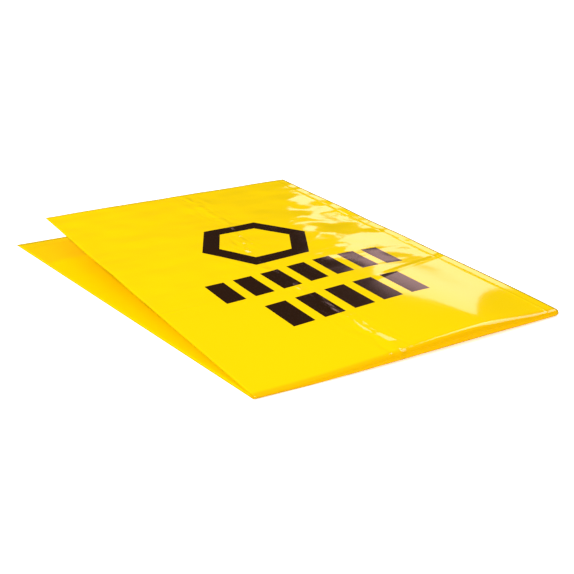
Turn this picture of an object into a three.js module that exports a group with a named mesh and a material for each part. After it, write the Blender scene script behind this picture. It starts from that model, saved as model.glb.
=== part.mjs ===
// Yellow gusseted polythene waste bag, new and empty, lying folded once across on a level surface.
// The bag is one tube of film, sealed across its bottom, so it is one closed solid here: the stack
// of its four flat plies, carried round one soft fold. The half with the seal lies underneath, and
// the half with the mouth springs up from the fold, so a thin wedge of air stays between the halves.
// Millimetres, +X along the fold, +Y from the fold to the mouth, +Z up. The underside is flat at Z 0,
// and the origin is below the middle of the folded bag.

import * as THREE from 'three';
import { mergeVertices } from 'three/addons/utils/BufferGeometryUtils.js';

// The flat stack: two outer walls with the two pleated gussets between them, and the air they hold.
const STACK_THICKNESS = 1.2;

// The film's width with its gussets folded in, which the fold and the seal share.
const BAG_WIDTH = 350;

// The fold, seen along its length: a crease at the left end, fullest right of the middle. Seen from
// above it bows out a little between its ends.
const FOLD_HEIGHT_LEFT = 2.4;
const FOLD_HEIGHT_FULL = 13.2;
const FOLD_HEIGHT_RIGHT = 7;
const FOLD_FULL_FROM_LEFT = 245;
const FOLD_BOW = 4;

// The lower half, which ends at the bottom seal. It was folded a little off square, so it leans left.
const SEAL_DEPTH = 507;
const SEAL_SHIFT = -32;

// The upper half, which ends at the open mouth: its edge is gathered a little by its waves, and the
// lifts are the heights of its top face there.
const MOUTH_DEPTH = 499.5;
const MOUTH_GATHER = 10.5;
const MOUTH_SHIFT = 3.5;
const MOUTH_SKEW = 7;
const MOUTH_LIFT_LEFT = 30.5;
const MOUTH_LIFT_RIGHT = 30;

// Where the fold is fullest, the upper half springs up from it by this much more, within the reach.
const FOLD_SPRING = 4;
const FOLD_SPRING_REACH = 50;

// How finely the stack is divided, across the bag, along each half and around the fold.
const STEPS_ACROSS = 16;
const STEPS_PER_HALF = 14;
const STEPS_AROUND_FOLD = 10;

const FILM_YELLOW = 0xffe000;

const { lerp, smoothstep } = THREE.MathUtils;

// Outer height of the fold at a share of the bag's width: it swells from each end to its fullest place.
function foldHeight(across) {
  const x = across * BAG_WIDTH;
  if (x < FOLD_FULL_FROM_LEFT) {
    return lerp(FOLD_HEIGHT_LEFT, FOLD_HEIGHT_FULL, smoothstep(x, 0, FOLD_FULL_FROM_LEFT));
  }
  return lerp(FOLD_HEIGHT_FULL, FOLD_HEIGHT_RIGHT, smoothstep(x, FOLD_FULL_FROM_LEFT, BAG_WIDTH));
}

// How far the middle of the fold's thickness lies from the straight line between the fold's ends.
function foldMiddle(across) {
  return foldHeight(across) / 2 - 4 * FOLD_BOW * across * (1 - across);
}

// A point of the lower half, away (0 to 1) from the fold towards the seal. It lies flat.
function lowerPoint(across, away, outward) {
  const atFold = across * BAG_WIDTH;
  const atSeal = SEAL_SHIFT + across * BAG_WIDTH;
  return new THREE.Vector3(
    lerp(atFold, atSeal, away),
    lerp(foldMiddle(across), SEAL_DEPTH, away),
    STACK_THICKNESS / 2 - outward,
  );
}

// A point of the fold, around (0 to 1) from the underside to the top.
function foldPoint(across, around, outward) {
  const outerRadius = foldHeight(across) / 2;
  const radius = outerRadius - STACK_THICKNESS / 2 + outward;
  const angle = Math.PI * around;
  return new THREE.Vector3(
    across * BAG_WIDTH,
    foldMiddle(across) - radius * Math.sin(angle),
    outerRadius - radius * Math.cos(angle),
  );
}

// How far the upper half springs up from the fold, beside its even rise to the mouth.
function springLift(height, away) {
  const fullness = (height - FOLD_HEIGHT_LEFT) / (FOLD_HEIGHT_FULL - FOLD_HEIGHT_LEFT);
  const risen = 1 - Math.exp((-away * MOUTH_DEPTH) / FOLD_SPRING_REACH);
  return FOLD_SPRING * fullness * risen * (1 - away);
}

// A point of the upper half, away (0 to 1) from the fold towards the mouth.
function upperPoint(across, away, outward) {
  const height = foldHeight(across);
  const atFold = across * BAG_WIDTH;
  const atMouth = MOUTH_SHIFT + across * (BAG_WIDTH - MOUTH_GATHER);
  const mouthTop = lerp(MOUTH_LIFT_LEFT, MOUTH_LIFT_RIGHT, across);
  const top = lerp(height, mouthTop, away) + springLift(height, away);
  return new THREE.Vector3(
    lerp(atFold, atMouth, away),
    lerp(foldMiddle(across), MOUTH_DEPTH + MOUTH_SKEW * across, away),
    top - STACK_THICKNESS / 2 + outward,
  );
}

// Carries a point of the flat stack into the folded bag. Row 0 is the seal and the last row the mouth.
function foldedPoint(across, row, outward) {
  if (row < STEPS_PER_HALF) {
    return lowerPoint(across, 1 - row / STEPS_PER_HALF, outward);
  }
  const pastSeal = row - STEPS_PER_HALF;
  if (pastSeal <= STEPS_AROUND_FOLD) {
    return foldPoint(across, pastSeal / STEPS_AROUND_FOLD, outward);
  }
  return upperPoint(across, (pastSeal - STEPS_AROUND_FOLD) / STEPS_PER_HALF, outward);
}

// A unit block, divided into the stack's steps, whose points are then moved one by one.
function foldedStack() {
  const rows = 2 * STEPS_PER_HALF + STEPS_AROUND_FOLD;
  const block = new THREE.BoxGeometry(1, 1, 1, STEPS_ACROSS, rows, 1);
  block.deleteAttribute('normal');
  block.deleteAttribute('uv');
  const stack = mergeVertices(block);
  const places = stack.getAttribute('position');
  for (let i = 0; i < places.count; i += 1) {
    const across = places.getX(i) + 0.5;
    const row = Math.round((places.getY(i) + 0.5) * rows);
    const outward = places.getZ(i) * STACK_THICKNESS;
    const point = foldedPoint(across, row, outward);
    places.setXYZ(i, point.x, point.y, point.z);
  }
  stack.computeBoundingBox();
  const middle = stack.boundingBox.getCenter(new THREE.Vector3());
  stack.translate(-middle.x, -middle.y, 0);
  stack.computeVertexNormals();
  return stack;
}

const film = new THREE.MeshStandardMaterial({ color: FILM_YELLOW, roughness: 0.18, metalness: 0 });
film.name = 'yellow_polythene';

const bag = new THREE.Mesh(foldedStack(), film);
bag.name = 'bag';

const foldedBag = new THREE.Group();
foldedBag.add(bag);

export default foldedBag;
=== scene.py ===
# A yellow polythene waste bag, new and empty, lying folded once across on a pale studio floor.
# The bag is one gusseted tube of film, so it is one modelled piece, dressed over one fixed solid.

import math

import bmesh
import bpy
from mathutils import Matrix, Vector, noise


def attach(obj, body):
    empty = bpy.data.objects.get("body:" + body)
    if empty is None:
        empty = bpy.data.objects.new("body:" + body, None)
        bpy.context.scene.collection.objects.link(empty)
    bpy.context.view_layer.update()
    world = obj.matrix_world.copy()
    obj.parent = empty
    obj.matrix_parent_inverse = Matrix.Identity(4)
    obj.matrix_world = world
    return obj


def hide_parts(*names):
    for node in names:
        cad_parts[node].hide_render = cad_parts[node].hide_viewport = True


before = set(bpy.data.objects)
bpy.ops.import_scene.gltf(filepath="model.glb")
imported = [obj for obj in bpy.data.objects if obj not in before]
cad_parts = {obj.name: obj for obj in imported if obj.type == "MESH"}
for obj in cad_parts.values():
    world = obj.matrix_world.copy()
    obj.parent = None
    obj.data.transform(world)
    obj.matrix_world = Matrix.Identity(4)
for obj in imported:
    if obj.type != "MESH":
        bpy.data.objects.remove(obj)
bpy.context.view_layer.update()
scene = bpy.context.scene
scene.view_settings.view_transform = "Standard"

# Camera. It looks down at the folded bag from the left of its fold, as the photograph does, and its
# place is given from the left end of the fold, which is where the bag is nearest to it.
FOLD_LEFT_END = Vector((-0.159, -0.2515, 0.0))
CAMERA_FROM_FOLD_END = Vector((-0.3922, -0.6767, 0.3902))
CAMERA_TURN = math.radians(-32.07)
CAMERA_TILT = math.radians(20.37)
SENSOR_MM = 36.0
PHOTO_PIXELS = 574
FOCAL_PIXELS = 1050

camera_data = bpy.data.cameras.new("camera")
camera_data.sensor_width = SENSOR_MM
camera_data.lens = SENSOR_MM * FOCAL_PIXELS / PHOTO_PIXELS
camera_data.clip_start = 0.01
camera = bpy.data.objects.new("camera", camera_data)
camera.location = FOLD_LEFT_END + CAMERA_FROM_FOLD_END
camera.rotation_euler = (math.pi / 2 - CAMERA_TILT, 0.0, CAMERA_TURN)
scene.collection.objects.link(camera)
scene.camera = camera

# Film bag. Blown low-density polythene tube, pleated with a gusset down each side, cut to length and
# heat sealed across its bottom. It is folded once across by hand, a little off square, and the half
# with the mouth has sprung up from the soft fold.
WALL = 0.350
GUSSET = 0.172
FILM_LENGTH = 1.012
# The film is drawn at twice its real thickness.
FILM_THICKNESS = 0.0001
STACK = 0.0012
SPACING_AT_EDGE = 0.00013
SPACING_INSIDE = 0.00034
SPACING_AT_MOUTH = 0.0008
SEAL_BAND = 0.012
TOP_CREASE_INSET = 0.0006
EDGE_TAPER = 0.030
MOUTH_LOOSE_SHARE = 0.15

# How it lies. Sizes along and across the fold are from its left end, and lifts are above the floor.
FOLD_AT = 0.508
FOLD_ZONE = 0.016
FOLD_HEIGHT_LEFT = 0.0024
FOLD_HEIGHT_FULL = 0.0132
FOLD_HEIGHT_RIGHT = 0.0070
FOLD_FULL_AT = 0.245
FOLD_BOW = 0.004
FOLD_SPRING = 0.0040
FOLD_SPRING_REACH = 0.050
SEAL_DEPTH = 0.507
SEAL_SHIFT = -0.032
MOUTH_DEPTH = 0.4995
MOUTH_WIDTH = 0.3395
MOUTH_SHIFT = 0.0035
MOUTH_SKEW = 0.007
MOUTH_LIFT_LEFT = 0.0305
MOUTH_LIFT_RIGHT = 0.0300
COCKLE_HEIGHT = 0.0016
RIPPLE_HEIGHT = 0.0003
COCKLES_FROM = 0.120

# The tube's runs round its section: where each starts and ends across the bag, its ply from the
# top of the stack, and its columns of faces. The pleats have theirs close together at each crease.
EDGE = 0.010
MIDDLE_LEFT = 0.128
MIDDLE_RIGHT = 0.204
TOP_RIGHT = WALL - TOP_CREASE_INSET
RUNS = (
    (0.0, EDGE, 0, 4),
    (EDGE, MIDDLE_LEFT, 0, 27),
    (MIDDLE_LEFT, MIDDLE_RIGHT, 0, 30),
    (MIDDLE_RIGHT, TOP_RIGHT - EDGE, 0, 32),
    (TOP_RIGHT - EDGE, TOP_RIGHT, 0, 4),
    (TOP_RIGHT, WALL - EDGE, 1, 2),
    (WALL - EDGE, WALL - GUSSET, 1, 5),
    (WALL - GUSSET, WALL - EDGE, 2, 5),
    (WALL - EDGE, WALL, 2, 2),
    (WALL, WALL - EDGE, 3, 3),
    (WALL - EDGE, EDGE, 3, 36),
    (EDGE, 0.0, 3, 3),
    (0.0, EDGE, 2, 2),
    (EDGE, GUSSET, 2, 5),
    (GUSSET, EDGE, 1, 5),
    (EDGE, 0.0, 1, 2),
)


def mix(a, b, t):
    return a + (b - a) * t


def eased(t):
    t = min(max(t, 0.0), 1.0)
    return t * t * (3 - 2 * t)


def section_columns():
    """Every column of the flat tube: its place across the bag, its ply, and its distance round the tube."""
    columns = []
    around = 0.0
    for index, (start, end, ply, count) in enumerate(RUNS):
        length = abs(end - start)
        crease_ply = (ply + RUNS[index - 1][2]) / 2
        for step in range(count):
            share = step / count
            columns.append((mix(start, end, share), ply if step else crease_ply, around + length * share))
        around += length
    return columns + [(0.0, columns[0][1], around)]


def station_rows():
    """Every row along the film, from the seal to the mouth: fine over the fold, coarse elsewhere."""
    lower, fold, upper = 76, 22, 118
    before, after = FOLD_AT - FOLD_ZONE, FOLD_AT + FOLD_ZONE
    rows = [before * k / lower for k in range(lower)]
    rows += [mix(before, after, k / fold) for k in range(fold)]
    return rows + [mix(after, FILM_LENGTH, k / upper) for k in range(upper + 1)]


def fold_height(x):
    """Outer height of the fold at a place across the bag."""
    if x < FOLD_FULL_AT:
        return mix(FOLD_HEIGHT_LEFT, FOLD_HEIGHT_FULL, eased(x / FOLD_FULL_AT))
    return mix(FOLD_HEIGHT_FULL, FOLD_HEIGHT_RIGHT, eased((x - FOLD_FULL_AT) / (WALL - FOLD_FULL_AT)))


def cockles(x, y):
    """The film's slack: it never lies quite flat, and lies flatter near the fold that stretches it."""
    broad = noise.noise(Vector((x * 11.0, y * 9.0, 3.1)))
    small = noise.noise(Vector((x * 34.0, y * 24.0, 8.4)))
    return (COCKLE_HEIGHT * broad + RIPPLE_HEIGHT * small) * eased((y - COCKLES_FROM) / COCKLES_FROM)


def ply_depth(x, along, ply):
    """How far a ply lies inside the stack's outer face. The seal holds them together, the mouth is loose."""
    from_edge = eased(min(x, WALL - x) / EDGE_TAPER)
    near_mouth = eased(1 - (1 - along / FILM_LENGTH) / MOUTH_LOOSE_SHARE)
    loose = mix(SPACING_INSIDE, SPACING_AT_MOUTH, near_mouth)
    sealed = 1 - eased((along - SEAL_BAND) / SEAL_BAND)
    return ply * mix(mix(SPACING_AT_EDGE, loose, from_edge), SPACING_AT_EDGE, sealed)


def folded_place(x, along, ply):
    """Carries a point of the flat tube to its place in the folded bag."""
    height = fold_height(x)
    middle = height / 2 - 4 * FOLD_BOW * x * (WALL - x) / WALL ** 2
    outward = STACK / 2 - FILM_THICKNESS / 2 - ply_depth(x, along, ply)
    radius = height / 2 - STACK / 2
    half_arc = math.pi * radius / 2
    run = along - FOLD_AT
    if run < -half_arc:
        away = (-run - half_arc) / (FOLD_AT - half_arc)
        y = mix(middle, SEAL_DEPTH, away)
        place = Vector((x + SEAL_SHIFT * away, y, STACK / 2 - outward))
    elif run <= half_arc:
        angle = math.pi * (run + half_arc) / (2 * half_arc)
        radius += outward
        y = middle - radius * math.sin(angle)
        place = Vector((x, y, height / 2 - radius * math.cos(angle)))
    else:
        away = (run - half_arc) / (FILM_LENGTH - FOLD_AT - half_arc)
        y = mix(middle, MOUTH_DEPTH + MOUTH_SKEW * x / WALL, away)
        top = mix(height, mix(MOUTH_LIFT_LEFT, MOUTH_LIFT_RIGHT, x / WALL), away)
        fullness = (height - FOLD_HEIGHT_LEFT) / (FOLD_HEIGHT_FULL - FOLD_HEIGHT_LEFT)
        spring = FOLD_SPRING * fullness * (1 - math.exp(-(y - middle) / FOLD_SPRING_REACH)) * (1 - away)
        place = Vector((
            mix(x, MOUTH_SHIFT + x * MOUTH_WIDTH / WALL, away),
            y,
            top + spring + cockles(x, y) - STACK / 2 + outward,
        ))
    return place + FOLD_LEFT_END


# The flat tube starts as a grid, and each of its points is carried to its place in the folded bag. Its
# first and last columns meet there and are merged, which closes the tube round its section.
columns = section_columns()
rows = station_rows()
film_mesh = bmesh.new()
bmesh.ops.create_grid(film_mesh, x_segments=len(columns) - 1, y_segments=len(rows) - 1, size=1)
film_uv = film_mesh.loops.layers.uv.new("film")
flat_places = {}
for vert in film_mesh.verts:
    x, ply, around = columns[round((vert.co.x + 1) / 2 * (len(columns) - 1))]
    along = rows[round((vert.co.y + 1) / 2 * (len(rows) - 1))]
    flat_places[vert] = (around, along)
    vert.co = folded_place(x, along, ply)
for face in film_mesh.faces:
    face.smooth = True
    for loop in face.loops:
        loop[film_uv].uv = flat_places[loop.vert]
bmesh.ops.remove_doubles(film_mesh, verts=film_mesh.verts, dist=0.000001)
film_data = bpy.data.meshes.new("film_bag")
film_mesh.to_mesh(film_data)
film_mesh.free()
film_bag = bpy.data.objects.new("film_bag", film_data)
scene.collection.objects.link(film_bag)
thickness = film_bag.modifiers.new("film thickness", "SOLIDIFY")
thickness.thickness = FILM_THICKNESS
thickness.offset = 0.0


def linear(colour):
    """A hex sRGB colour as the linear values that a shader takes."""
    channels = [int(colour[k:k + 2], 16) / 255 for k in (1, 3, 5)]
    return [c / 12.92 if c <= 0.04045 else ((c + 0.055) / 1.055) ** 2.4 for c in channels] + [1.0]


def node(tree, kind, settings=None, **links):
    """Adds a node, sets what settings names, and links or fills its inputs."""
    made = tree.nodes.new(kind)
    for key, value in (settings or {}).items():
        setattr(made, key, value)
    for key, value in links.items():
        by_number = key[0] == "i" and key[1:].isdigit()
        socket = made.inputs[int(key[1:]) if by_number else key.replace("_", " ")]
        if isinstance(value, bpy.types.NodeSocket):
            tree.links.new(value, socket)
        else:
            socket.default_value = value
    return made


# Blown film sets in the air with both faces smooth, so it has a wet-looking gloss over the deep, even
# yellow of its pigment, and only its creases and dents break up what it reflects.
FILM_ROUGHNESS = 0.07
INK_ADDED_ROUGHNESS = 0.10
FILM_IOR = 1.51
gloss_film = bpy.data.materials.new("glossy_yellow_polythene")
gloss_film.use_nodes = True
tree = gloss_film.node_tree
tree.nodes.clear()


def math_step(operation, first, second=0.0, third=0.0):
    """One step of arithmetic on two or three values or sockets."""
    return node(tree, "ShaderNodeMath", {"operation": operation}, i0=first, i1=second, i2=third).outputs[0]


def band(value, low, high):
    """1 between two limits and 0 outside them."""
    return math_step("COMPARE", value, (low + high) / 2, (high - low) / 2)


def ramp(value, low, high):
    """Rises smoothly from 0 at low to 1 at high."""
    settings = {"interpolation_type": "SMOOTHSTEP"}
    return node(tree, "ShaderNodeMapRange", settings, Value=value, From_Min=low, From_Max=high).outputs[0]


def film_noise(wave_across, wave_along, detail=2.0, seed=0.0):
    """Noise of about -0.5 to 0.5 over the film, with its wave lengths in metres."""
    waves = (1 / wave_across, 1 / wave_along, 1.0)
    scaled = node(tree, "ShaderNodeMapping", Vector=film_place, Location=(seed, seed, 0.0), Scale=waves)
    pattern = node(tree, "ShaderNodeTexNoise", Vector=scaled.outputs[0], Scale=1.0, Detail=detail)
    return math_step("SUBTRACT", pattern.outputs[0], 0.5)


def ridge(distance, half_width, height):
    """A straight-sided ridge of the film: full height at distance 0 and none past its half width."""
    inside = math_step("SUBTRACT", half_width, math_step("ABSOLUTE", distance))
    return math_step("MULTIPLY", math_step("MAXIMUM", inside, 0.0), height / half_width)


# Where a point is on the flat film: across its top wall, and along it from the fold.
film_place = node(tree, "ShaderNodeUVMap", {"uv_map": "film"}).outputs[0]
flat = node(tree, "ShaderNodeSeparateXYZ", Vector=film_place)
across = flat.outputs[0]
from_fold = math_step("SUBTRACT", flat.outputs[1], FOLD_AT)
on_top = band(across, 0.0, TOP_RIGHT)

# The print, in one near-black ink: a plain six-sided ring, and two rows of plain oblongs.
RING_ACROSS = 0.180
RING_FROM_FOLD = 0.306
RING_MIDDLE = 0.050
RING_STROKE = 0.019
OBLONG_GAP = 0.011
beside_ring = math_step("ABSOLUTE", math_step("SUBTRACT", across, RING_ACROSS))
along_ring = math_step("ABSOLUTE", math_step("SUBTRACT", from_fold, RING_FROM_FOLD))
slanted = math_step("MULTIPLY_ADD", beside_ring, math.sqrt(3) / 2, math_step("MULTIPLY", along_ring, 0.5))
from_ring_centre = math_step("MAXIMUM", slanted, along_ring)
ring = band(from_ring_centre, RING_MIDDLE - RING_STROKE / 2, RING_MIDDLE + RING_STROKE / 2)


def oblongs(left, right, low, high, count):
    """A row of plain oblongs between two places across the film and two along it."""
    pitch = (right - left + OBLONG_GAP) / count
    in_turn = math_step("WRAP", math_step("SUBTRACT", across, left), pitch, 0.0)
    inside_row = math_step("MULTIPLY", band(across, left, right), band(from_fold, low, high))
    return math_step("MULTIPLY", inside_row, math_step("LESS_THAN", in_turn, pitch - OBLONG_GAP))


first_row = oblongs(0.070, 0.291, 0.176, 0.224, 7)
second_row = oblongs(0.098, 0.262, 0.097, 0.151, 5)
ink = math_step("MAXIMUM", ring, math_step("MAXIMUM", first_row, second_row))
ink = math_step("MULTIPLY", ink, on_top)

# Relief too fine for the mesh, in metres. The bag was packed folded again along its middle, which
# leaves a wandering, wrinkled crease there. A second crease crosses the right of the film, short ones
# run along its right edge and in from its left, and the slack film beyond them is full of dents.
MIDDLE_CREASE_AT = 0.150
MIDDLE_CREASE_DRIFT = 0.036
MIDDLE_CREASE_WANDER = 0.022
CROSS_CREASE_AT = 0.089
CROSS_CREASE_SLANT = 0.25
EDGE_CREASE_AT = 0.336
LEFT_CREASE_AT = 0.186
DENT_HEIGHT = 0.0030
WRINKLE_HEIGHT = 0.0020
STREAK_HEIGHT = 0.0002
GRAIN_HEIGHT = 0.00003

drift = math_step("MULTIPLY", ramp(from_fold, 0.25, 0.40), MIDDLE_CREASE_DRIFT)
wander = math_step("MULTIPLY", film_noise(0.2, 0.05, seed=4.0), MIDDLE_CREASE_WANDER)
middle_line = math_step("ADD", math_step("ADD", drift, wander), MIDDLE_CREASE_AT)
from_middle = math_step("SUBTRACT", across, middle_line)
patchy = ramp(film_noise(0.2, 0.03, seed=9.0), -0.15, 0.0)
middle_crease = math_step("MULTIPLY", ridge(from_middle, 0.006, 0.0005), patchy)

near_middle = math_step("SUBTRACT", WRINKLE_HEIGHT, math_step(
    "MULTIPLY", ramp(math_step("ABSOLUTE", from_middle), 0.004, 0.030), WRINKLE_HEIGHT))
wrinkles = math_step("MULTIPLY", math_step("ABSOLUTE", film_noise(0.016, 0.045, 1.5, 2.0)), near_middle)

cross_line = math_step("MULTIPLY_ADD", across, CROSS_CREASE_SLANT, CROSS_CREASE_AT)
from_cross = math_step("SUBTRACT", from_fold, cross_line)
cross_crease = math_step("MULTIPLY", ridge(from_cross, 0.006, 0.0008), ramp(across, 0.21, 0.26))
edge_crease = ridge(math_step("SUBTRACT", across, EDGE_CREASE_AT), 0.0025, 0.00022)
left_crease = ridge(math_step("SUBTRACT", from_fold, LEFT_CREASE_AT), 0.003, 0.0002)
left_crease = math_step("MULTIPLY", left_crease, math_step("SUBTRACT", 1.0, ramp(across, 0.03, 0.06)))

slack = math_step("MULTIPLY", ramp(from_fold, 0.15, 0.22), DENT_HEIGHT)
dents = math_step("MULTIPLY", film_noise(0.060, 0.045, 1.0, 1.0), slack)
streaked = math_step("MULTIPLY", band(from_fold, 0.165, 0.245), STREAK_HEIGHT)
streaks = math_step("MULTIPLY", film_noise(0.090, 0.011, 1.0, 6.0), streaked)
grain = math_step("MULTIPLY", film_noise(0.012, 0.016, 2.0, 3.0), GRAIN_HEIGHT)
seal_line = ridge(math_step("SUBTRACT", flat.outputs[1], SEAL_BAND), 0.002, 0.00015)

fine_relief = wrinkles
for part in (middle_crease, cross_crease, edge_crease, left_crease, dents, streaks, grain, seal_line):
    fine_relief = math_step("ADD", fine_relief, part)
relief = node(tree, "ShaderNodeBump", Strength=1.0, Distance=1.0, Height=fine_relief)

# Film colour, with painted shade: a deeper orange yellow is painted in a band where the film turns round the
# fold, standing in for the shade and the light bounced between the plies there.
painted_fold_shade = math_step("SUBTRACT", 1.0, ramp(math_step("ABSOLUTE", from_fold), 0.004, 0.010))
colours = {"data_type": "RGBA"}
film_colour_with_painted_fold_shade = node(tree, "ShaderNodeMix", colours, i0=painted_fold_shade, i6=linear("#FDD400"), i7=linear("#FABE00"))
printed = node(tree, "ShaderNodeMix", colours, i0=ink, i6=film_colour_with_painted_fold_shade.outputs[2], i7=linear("#2A170A"))
shader = node(
    tree,
    "ShaderNodeBsdfPrincipled",
    Base_Color=printed.outputs[2],
    Roughness=math_step("MULTIPLY_ADD", ink, INK_ADDED_ROUGHNESS, FILM_ROUGHNESS),
    IOR=FILM_IOR,
    Normal=relief.outputs[0],
)
out = node(tree, "ShaderNodeOutputMaterial", Surface=shader.outputs[0])
film_data.materials.append(gloss_film)

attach(film_bag, "root")
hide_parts("bag")

# Studio. A pale lit floor under an even pale sky, which the gloss of the film hardly sees. Two soft
# lights low behind the bag lie reflected across the right of the film, and there is one at each side.
FLOOR_SIZE = 14
SKY_STRENGTH = 0.68
SKY_ADDED_IN_VIEW = 0.40
SKY_IN_GLOSS = 0.02
BACK_TINT = (1.0, 0.64, 0.64)

bpy.ops.mesh.primitive_plane_add(size=FLOOR_SIZE, location=(0, 0, 0))
floor = bpy.context.object
floor.name = "floor"
paint = bpy.data.materials.new("lit_matt_white_floor")
paint.use_nodes = True
paint.node_tree.nodes.clear()
lit_white = node(
    paint.node_tree,
    "ShaderNodeBsdfPrincipled",
    Base_Color=linear("#FAFAFA"),
    Roughness=0.9,
    Specular_IOR_Level=0.0,
    Emission_Color=linear("#FAFAFA"),
    Emission_Strength=0.45,
)
node(paint.node_tree, "ShaderNodeOutputMaterial", Surface=lit_white.outputs[0])
floor.data.materials.append(paint)
floor.visible_glossy = False


def softbox(name, aim, turn, tilt, distance, size, watts, colour=(1.0, 1.0, 1.0)):
    """A rectangular soft light, at a turn from +Y and a tilt above the floor, facing the point aimed at."""
    light_data = bpy.data.lights.new(name, "AREA")
    light_data.shape = "RECTANGLE"
    light_data.size, light_data.size_y = size
    light_data.energy = watts
    light_data.color = colour
    light = bpy.data.objects.new(name, light_data)
    turn, tilt = math.radians(turn), math.radians(tilt)
    towards = Vector((math.sin(turn) * math.cos(tilt), math.cos(turn) * math.cos(tilt), math.sin(tilt)))
    light.location = Vector(aim) + distance * towards
    light.rotation_euler = towards.to_track_quat("Z", "Y").to_euler()
    scene.collection.objects.link(light)


softbox("back_near", (0.105, -0.146, 0.015), 42.6, 20.3, 6.0, (1.07, 1.07), 7.8, BACK_TINT)
softbox("back_far", (0.141, 0.090, 0.020), 35.7, 17.4, 6.0, (0.47, 0.42), 1.4, BACK_TINT)
softbox("right_high", (0.10, -0.25, 0.01), 75, 40, 3.0, (2.4, 1.0), 21.0)
softbox("left", (-0.15, 0.0, 0.0), -80, 45, 3.2, (1.8, 0.8), 84.0)

world = bpy.data.worlds.new("studio")
world.use_nodes = True
scene.world = world
sky = world.node_tree
sky.nodes.clear()
seen = node(sky, "ShaderNodeLightPath")
to_camera = seen.outputs["Is Camera Ray"]
multiply_add = {"operation": "MULTIPLY_ADD"}
strength = node(sky, "ShaderNodeMath", multiply_add, i0=to_camera, i1=SKY_ADDED_IN_VIEW, i2=SKY_STRENGTH)
pale = node(sky, "ShaderNodeBackground", Color=linear("#FAFAFA"), Strength=strength.outputs[0])
dim = node(sky, "ShaderNodeBackground", Color=linear("#FAFAFA"), Strength=SKY_IN_GLOSS)
in_gloss = seen.outputs["Is Glossy Ray"]
blend = node(sky, "ShaderNodeMixShader", i0=in_gloss, i1=pale.outputs[0], i2=dim.outputs[0])
node(sky, "ShaderNodeOutputWorld", Surface=blend.outputs[0])
